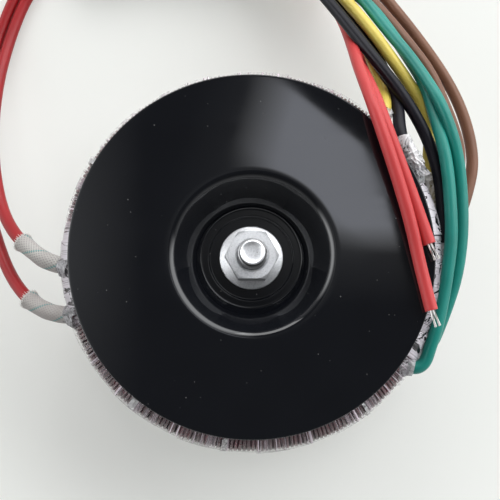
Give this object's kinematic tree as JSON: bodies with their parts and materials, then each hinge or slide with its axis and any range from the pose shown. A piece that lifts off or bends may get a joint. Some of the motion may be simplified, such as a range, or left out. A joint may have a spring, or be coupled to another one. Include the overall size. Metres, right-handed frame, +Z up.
{
  "type": "toroidal transformer",
  "caption": "Ring-shaped wound transformer under clear film, clamped by dished steel plates on a centre bolt, with insulated flying leads.",
  "frame": {"origin": "on the coil's axis, at the level of the surface that the transformer stands on", "axes": "+Z up along the centre bolt, from its head to its nut; +Y towards the side where the leads gather behind the coil; the red leads leave the coil towards -X"},
  "size_m": [0.1529, 0.1834, 0.0597],
  "materials": {
    "plate_black": "gloss",
    "rubber_pad": "matt",
    "zinc": "bright zinc plate",
    "film_clear": "clear, crinkled",
    "winding_enamel": "enamelled copper wire",
    "insulation_film": "satin",
    "core_steel": "strip edges",
    "tie_nylon": "satin",
    "tinned_copper": "tinned",
    "sleeve_braid": "braided, with a coloured tracer",
    "sleeve_film": "clear, crinkled",
    "lead_red": "satin",
    "lead_black": "satin",
    "lead_yellow": "satin",
    "lead_green": "satin",
    "lead_brown": "satin"
  },
  "bodies": {
    "root": {"black_lead_a": "lead_black", "black_lead_b": "lead_black", "black_sleeve_a": "sleeve_film", "black_sleeve_b": "sleeve_film", "black_tip_a": "tinned_copper", "black_tip_b": "tinned_copper", "bolt_washer": "zinc", "bottom_pad": "rubber_pad", "bottom_plate": "plate_black", "brown_lead_a": "lead_brown", "brown_lead_b": "lead_brown", "brown_sleeve_a": "sleeve_film", "brown_sleeve_b": "sleeve_film", "brown_tip_a": "tinned_copper", "brown_tip_b": "tinned_copper", "bundle_tie": "tie_nylon", "centre_bolt": "zinc", "core": "core_steel", "core_wrap": "insulation_film", "flange_nut": "zinc", "green_lead_a": "lead_green", "green_lead_b": "lead_green", "green_sleeve_a": "sleeve_film", "green_sleeve_b": "sleeve_film", "green_tip_a": "tinned_copper", "green_tip_b": "tinned_copper", "interwinding_insulation": "insulation_film", "outer_film": "film_clear", "primary_winding": "winding_enamel", "red_lead_a": "lead_red", "red_lead_b": "lead_red", "red_sleeve_a": "sleeve_braid", "red_sleeve_b": "sleeve_braid", "red_tip_a": "tinned_copper", "red_tip_b": "tinned_copper", "secondary_winding": "winding_enamel", "top_pad": "rubber_pad", "top_plate": "plate_black", "yellow_lead_a": "lead_yellow", "yellow_lead_b": "lead_yellow", "yellow_sleeve_a": "sleeve_film", "yellow_sleeve_b": "sleeve_film", "yellow_tip_a": "tinned_copper", "yellow_tip_b": "tinned_copper"}
  },
  "joints": []
}
